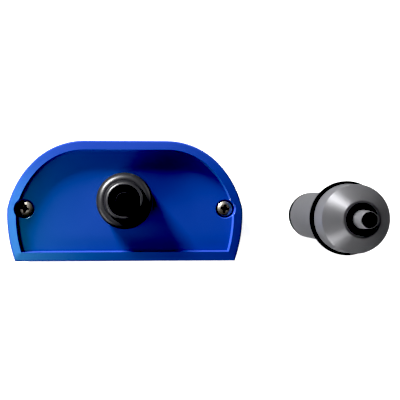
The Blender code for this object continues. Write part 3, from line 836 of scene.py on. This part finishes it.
def head():
    top, low = high_z("holder_head"), low_z("holder_head")
    shelf = low + SPIGOT_LENGTH
    cone = top - CONE_HEIGHT
    brow_radius, brow_drop = 14.65, 0.4
    mouth_low, seat = top - 4.0, top - 7.6
    profile = rounded(
        [
            (MOUTH_RADIUS, mouth_low, 0),
            (MOUTH_RADIUS, top, 0.15),
            (HEAD_TOP_RADIUS, top, 0.6),
            (CONE_RADIUS, cone, 0.35),
            (brow_radius, cone - brow_drop, 0.3),
            (HEAD_RADIUS, shelf, 0.3),
            (SPIGOT_RADIUS, shelf, 0.1),
            (SPIGOT_RADIUS, low, 0.3),
            (HEAD_BORE, low, 0.2),
            (HEAD_BORE, seat, 0.1),
            (MOUTH_RADIUS, seat, 0),
        ],
        steps=5,
    )
    piece = turned(HOLDER, profile, FINE_STEPS, ring=True)
    settle(piece, "head_cone", "holder")
    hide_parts("holder_head")
    return piece


def holder_button():
    top, low = high_z("holder_button"), low_z("holder_button")
    inlay_hole = top - INLAY_HOLE_DEPTH
    crown_radius, crown_drop = 3.3, 0.3
    profile = rounded(
        [
            (WIDE_CAP_RADIUS, inlay_hole, 0),
            (INLAY_HOLE_RADIUS, inlay_hole, 0.1),
            (INLAY_HOLE_RADIUS, top, 0.05),
            (crown_radius, top, 0.1),
            (PIN_TOP_RADIUS, top - crown_drop, 0.15),
            (PIN_RADIUS, high_z("head_bush"), 0),
        ]
        + pin_base(low)
    )
    piece = turned(HOLDER, profile)
    settle(piece, "holder_pin", "holder_plunger")
    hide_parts("holder_button")
    return piece


def button_inlay():
    top = high_z("holder_button")
    bottom = top - INLAY_THICKNESS
    profile = rounded(
        [
            (CAP_RADIUS, bottom, 0),
            (INLAY_RADIUS, bottom, 0.1),
            (INLAY_RADIUS, top, 0.15),
            (CAP_RADIUS, top, 0),
        ]
    )
    tip = turned(HOLDER, profile)
    settle(tip, "pin_inlay", "holder_plunger")
    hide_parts("holder_button_tip")
    return tip


# ---------------------------------------------------------------- materials


def linear(code):
    """An sRGB hex value as linear colour."""
    channels = [int(code[i : i + 2], 16) / 255 for i in (1, 3, 5)]
    return (
        *[c / 12.92 if c <= 0.04045 else ((c + 0.055) / 1.055) ** 2.4 for c in channels],
        1.0,
    )


def add(tree, kind, settings=None, **links):
    """Adds a node. Settings go to its attributes or its unlinked sockets, and links join sockets."""
    node = tree.nodes.new("ShaderNode" + kind)
    for key, value in (settings or {}).items():
        if hasattr(node, key):
            setattr(node, key, value)
        else:
            node.inputs[key].default_value = value
    for key, source in links.items():
        tree.links.new(source, node.inputs[key.replace("_", " ")])
    return node


def surface(name, colour, roughness, metallic=0.0):
    material = bpy.data.materials.new(name)
    material.use_nodes = True
    shader = material.node_tree.nodes["Principled BSDF"]
    shader.inputs["Base Color"].default_value = linear(colour)
    shader.inputs["Roughness"].default_value = roughness
    shader.inputs["Metallic"].default_value = metallic
    return material, material.node_tree, shader


def place_coordinates(tree, scale=(1000, 1000, 1000)):
    """Object coordinates in millimetres."""
    here = add(tree, "TexCoord").outputs["Object"]
    return add(tree, "Mapping", {"Scale": scale}, Vector=here).outputs["Vector"]


def varied(tree, shader, socket, factor, low, high):
    """Drives a number on the shader between two values by a factor."""
    ranged = add(tree, "MapRange", {"To Min": low, "To Max": high}, Value=factor)
    tree.links.new(ranged.outputs["Result"], shader.inputs[socket])


def tinted(tree, shader, factor, first, second):
    """Drives the base colour from one colour to another by a factor."""
    ramp = add(tree, "ValToRGB", None, Fac=factor)
    ramp.color_ramp.elements[0].color = linear(first)
    ramp.color_ramp.elements[1].color = linear(second)
    tree.links.new(ramp.outputs["Color"], shader.inputs["Base Color"])


def bumped(tree, shader, height, depth_mm):
    bump = add(tree, "Bump", {"Strength": 1.0, "Distance": depth_mm * MM}, Height=height)
    tree.links.new(bump.outputs["Normal"], shader.inputs["Normal"])


def noise(tree, where, scale, detail):
    """A noise from nought to one. The scale is how many of its spots fit in a millimetre."""
    settings = {"Scale": scale, "Detail": detail}
    return add(tree, "TexNoise", settings, Vector=where).outputs["Fac"]


def grained(tree, shader, where, scale, detail, smoothest, dullest):
    """Varies the roughness with a fine noise, and gives the noise back."""
    grain = noise(tree, where, scale, detail)
    varied(tree, shader, "Roughness", grain, smoothest, dullest)
    return grain


def moulded_blue_abs():
    """Injection-moulded ABS from a polished tool: deep blue with a soft, slightly cyan sheen."""
    material, tree, shader = surface("moulded_blue_abs", "#2B3E8E", roughness=0.32)
    shader.inputs["IOR"].default_value = 1.54
    shader.inputs["Specular IOR Level"].default_value = 1.0
    shader.inputs["Specular Tint"].default_value = linear("#6FDCFF")
    shader.inputs["Coat Weight"].default_value = 0.5
    shader.inputs["Coat Roughness"].default_value = 0.3
    shader.inputs["Coat Tint"].default_value = linear("#FFFFFF")
    where = place_coordinates(tree)
    cloud = noise(tree, where, scale=0.06, detail=3.0)
    tinted(tree, shader, cloud, "#293C8A", "#2D4092")
    grain = grained(tree, shader, where, scale=1.6, detail=4.0, smoothest=0.28, dullest=0.36)
    bumped(tree, shader, grain, depth_mm=0.006)
    return material


def moulded_black_abs():
    """Injection-moulded ABS with a spark-eroded texture: satin black."""
    material, tree, shader = surface("moulded_black_abs", "#1C1C1E", roughness=0.35)
    where = place_coordinates(tree)
    grain = grained(tree, shader, where, scale=3.0, detail=4.0, smoothest=0.30, dullest=0.42)
    bumped(tree, shader, grain, depth_mm=0.015)
    return material


def blasted_aluminium():
    """Turned aluminium, bead-blasted and anodised grey: soft metal sheen with a fine grain."""
    material, tree, shader = surface("blasted_aluminium", "#BCBCC0", roughness=0.38, metallic=0.5)
    where = place_coordinates(tree)
    grain = grained(tree, shader, where, scale=6.0, detail=3.0, smoothest=0.36, dullest=0.46)
    bumped(tree, shader, grain, depth_mm=0.01)
    return material


def moulded_rubber():
    """Compression-moulded nitrile rubber: dull black."""
    material, tree, shader = surface("moulded_rubber", "#060606", roughness=0.7)
    where = place_coordinates(tree)
    grain = grained(tree, shader, where, scale=4.0, detail=5.0, smoothest=0.6, dullest=0.8)
    bumped(tree, shader, grain, depth_mm=0.03)
    return material


def tumbled_steel():
    """Cold-headed and tumbled stainless steel: warm grey with small dents."""
    material, tree, shader = surface("tumbled_steel", "#9C978E", roughness=0.3, metallic=1.0)
    where = place_coordinates(tree)
    grain = grained(tree, shader, where, scale=2.5, detail=4.0, smoothest=0.2, dullest=0.4)
    bumped(tree, shader, grain, depth_mm=0.02)
    return material


def painted_recess_shade():
    """Painted shade for the punched recess of a screw head: nearly black steel where the shade
    falls.
    """
    material, tree, shader = surface("painted_recess_shade", "#151312", roughness=0.55, metallic=0.6)
    where = place_coordinates(tree)
    grained(tree, shader, where, scale=5.0, detail=3.0, smoothest=0.45, dullest=0.65)
    return material


def nickel_plate():
    """Nickel plate over a sintered magnet: bright, pale and slightly warm."""
    material, tree, shader = surface("nickel_plate", "#C8C2B6", roughness=0.2, metallic=1.0)
    where = place_coordinates(tree)
    grained(tree, shader, where, scale=1.2, detail=3.0, smoothest=0.14, dullest=0.26)
    return material


def machined_brass():
    """Machined brass: yellow metal with fine tool marks that run round it."""
    material, tree, shader = surface("machined_brass", "#C9A45A", roughness=0.3, metallic=1.0)
    where = place_coordinates(tree, (1000, 1000, 8000))
    grained(tree, shader, where, scale=1.0, detail=2.0, smoothest=0.24, dullest=0.4)
    return material


def pressed_felt():
    """Pressed wool felt: matt, with matted fibres about half a millimetre apart."""
    material, tree, shader = surface("pressed_felt", "#3A3B3E", roughness=0.95)
    where = place_coordinates(tree)
    matting = {"Scale": 2.2, "Detail": 6.0, "Distortion": 1.5}
    fibres = add(tree, "TexNoise", matting, Vector=where).outputs["Fac"]
    tinted(tree, shader, fibres, "#222326", "#55565A")
    bumped(tree, shader, fibres, depth_mm=0.35)
    return material


def closed_cell_foam():
    """Closed-cell EVA foam: dull dark grey with small cut cells."""
    material, tree, shader = surface("closed_cell_foam", "#1B1B1D", roughness=0.9)
    where = place_coordinates(tree)
    cells = add(tree, "TexVoronoi", {"Scale": 2.6}, Vector=where).outputs["Distance"]
    tinted(tree, shader, cells, "#101011", "#29292C")
    bumped(tree, shader, cells, depth_mm=0.12)
    return material


def dress(piece, material):
    piece.data.materials.clear()
    piece.data.materials.append(material)


def dress_cad(node, material):
    if not node.material_slots:
        node.data.materials.append(material)
    for slot in node.material_slots:
        slot.material = material


def dress_frame():
    """Gives each CAD node the material of its slot."""
    for row in frame["record"]["subparts"]:
        dress_cad(frame["nodes"][row["node"]], slots[row["material_slot"]])


# ---------------------------------------------------------------- floor, lights and camera


def glowing(name, strength):
    """A pale matt surface that gives off some white light of its own."""
    material, _, shader = surface(name, "#F4F4F4", roughness=0.9)
    shader.inputs["Emission Color"].default_value = linear("#FFFFFF")
    shader.inputs["Emission Strength"].default_value = strength
    return material


def floor():
    """A pale bench top that glows a little, so that it stays even."""
    bpy.ops.object.select_all(action="DESELECT")
    bpy.ops.mesh.primitive_plane_add(size=FLOOR_SIZE, location=(0, 0, 0))
    top = bpy.context.object
    top.name = "bench_top"
    dress(top, glowing("pale_bench", FLOOR_GLOW))
    top.visible_glossy = False


def backdrop():
    """A white studio wall all round, far off, which the camera sees but which lights nothing."""
    bpy.ops.object.select_all(action="DESELECT")
    bpy.ops.mesh.primitive_uv_sphere_add(segments=48, ring_count=24, radius=WALL_RADIUS)
    wall = bpy.context.object
    wall.name = "studio_wall"
    dress(wall, glowing("white_wall", WALL_GLOW))
    wall.visible_diffuse = False
    wall.visible_glossy = False
    wall.visible_shadow = False


def half(is_holder):
    """The pieces of one half: the holder stands well to the right of the wiper."""
    border = (POST.x + HOLDER.x) / 2 + HOLDER_SIDE
    found = []
    for piece in bpy.data.objects:
        if piece.type != "MESH" or piece.name in ("bench_top", "studio_wall"):
            continue
        left_side = min(corner[0] for corner in piece.bound_box) / MM
        if (left_side > border) == is_holder:
            found.append(piece)
    return found


def on_post(piece):
    return piece.name == "post_grip"


def is_screw(piece):
    return piece.name.startswith("cross_screw")


def flag(name, pieces):
    """Keeps a lamp's light off some pieces, as a black card in front of the lamp would."""
    card = bpy.data.collections.new(name)
    for piece in pieces:
        card.objects.link(piece)
    for member in card.collection_objects:
        member.light_linking.link_state = "EXCLUDE"
    return card


def soft_light(name, azimuth, elevation, size, power, card, colour="#FFFFFF"):
    """A rectangular softbox on a dome round the object, facing its middle."""
    data = bpy.data.lights.new(name, "AREA")
    data.shape = "RECTANGLE"
    data.size, data.size_y = size
    data.energy = power
    data.color = linear(colour)[:3]
    turn, rise = math.radians(azimuth), math.radians(elevation)
    outward = Vector(
        (math.cos(rise) * math.cos(turn), math.cos(rise) * math.sin(turn), math.sin(rise))
    )
    lamp = bpy.data.objects.new(name, data)
    lamp.location = Vector((0, 0, DOME_MIDDLE_HEIGHT)) + outward * DOME_RADIUS
    lamp.rotation_euler = outward.to_track_quat("Z", "Y").to_euler()
    lamp.light_linking.receiver_collection = card
    bpy.context.scene.collection.objects.link(lamp)
    return lamp


def lights():
    """A faint even light, and softboxes that each reach only some of the pieces."""
    world = bpy.data.worlds.new("studio")
    world.use_nodes = True
    background = world.node_tree.nodes["Background"]
    background.inputs["Color"].default_value = linear("#FFFFFF")
    background.inputs["Strength"].default_value = AMBIENT
    bpy.context.scene.world = world

    pieces = [piece for piece in bpy.data.objects if piece.type == "MESH"]
    off_wiper = flag("off_wiper", half(is_holder=False))
    off_post = flag("off_post", half(is_holder=True) + [p for p in pieces if on_post(p)])
    only_post = flag("only_post", [p for p in pieces if not on_post(p) and not is_screw(p)])
    only_shell = flag("only_shell", [p for p in pieces if p.name != "housing_shell"])

    # Each line gives azimuth and elevation in degrees, width and height in metres, and watts.
    wide = (0.5, 0.30)
    key = soft_light("wiper_key", 124, 9, (0.24, 0.16), 48.0, off_post)
    fill = soft_light("wiper_fill", 215, 12, (0.5, 0.16), 10.0, off_post)
    key.visible_glossy = False
    fill.visible_glossy = False
    soft_light("shell_sheen", 200, 60, (0.75, 0.22), 3.1, only_shell, "#A4E8F0")
    soft_light("post_key", 134, 40, (0.26, 0.20), 38.0, only_post)
    soft_light("post_fill", 215, 20, wide, 3.0, only_post)
    soft_light("post_far_fill", 25, 20, wide, 1.5, only_post)
    soft_light("holder_key", 124, 14, (0.3, 0.3), 3.0, off_wiper)
    soft_light("holder_fill", 238, 6, (0.3, 0.3), 1.5, off_wiper)


def display():
    """Plain display colours with the black point set a little above zero."""
    settings = bpy.context.scene.view_settings
    settings.view_transform = "Standard"
    settings.use_curve_mapping = True
    settings.curve_mapping.black_level = (BLACK_POINT, BLACK_POINT, BLACK_POINT)
    settings.curve_mapping.update()


def camera():
    """Above the wiper, turned and shifted a little so that both halves are in view."""
    data = bpy.data.cameras.new("camera")
    data.sensor_width = 36.0
    data.lens = 54.47
    data.shift_x = 0.09
    data.shift_y = 0.0021
    data.clip_start = 0.01
    seen = bpy.data.objects.new("camera", data)
    seen.location = ((POST.x + CAMERA_ASIDE) * MM, POST.y * MM, CAMERA_HEIGHT)
    seen.rotation_euler = (0, CAMERA_LEAN, 0)
    bpy.context.scene.collection.objects.link(seen)
    bpy.context.scene.camera = seen


camera()
floor()
backdrop()

slots = {
    "blue_abs": moulded_blue_abs(),
    "black_abs": moulded_black_abs(),
    "grey_aluminium": blasted_aluminium(),
    "black_rubber": moulded_rubber(),
    "stainless_steel": tumbled_steel(),
    "nickel_plate": nickel_plate(),
    "brass": machined_brass(),
    "grey_felt": pressed_felt(),
    "eva_foam": closed_cell_foam(),
}
# Nearly black steel for the screws' cross recesses: painted shade, not the steel's own colour.
recess = painted_recess_shade()
dress_frame()

dress(housing(), slots["blue_abs"])
dress(tray(), slots["black_abs"])
felt = pad_layer("felt_pad", "felt_layer")
dress(felt, slots["grey_felt"])
foam = pad_layer("foam_backing", "foam_layer")
dress(foam, slots["eva_foam"])
for word, side in SIDES:
    screw(word, side)
dress(post(), slots["black_abs"])
dress(bush("post_bush", "post_mouth_bush", POST, "wiper"), slots["black_abs"])
dress(release_button(), slots["black_abs"])
rod = plunger_rod("release_rod", "push_rod", POST, "release_plunger")
dress(rod, slots["stainless_steel"])
foot = plunger_foot("release_foot", "push_foot", POST, "release_plunger")
dress(foot, slots["black_rubber"])
dress(barrel(), slots["grey_aluminium"])
dress(end_cap(), slots["black_abs"])
dress(holder_pad(), slots["grey_felt"])
dress(bumper(), slots["black_rubber"])
dress(head(), slots["grey_aluminium"])
dress(bush("head_bush", "head_mouth_bush", HOLDER, "holder"), slots["black_abs"])
dress(holder_button(), slots["grey_aluminium"])
dress(button_inlay(), slots["black_abs"])
rod = plunger_rod("holder_rod", "holder_push_rod", HOLDER, "holder_plunger")
dress(rod, slots["stainless_steel"])
foot = plunger_foot("holder_foot", "holder_push_foot", HOLDER, "holder_plunger")
dress(foot, slots["black_rubber"])

lights()
display()


def corners(box):
    return [list(corner) for corner in box]
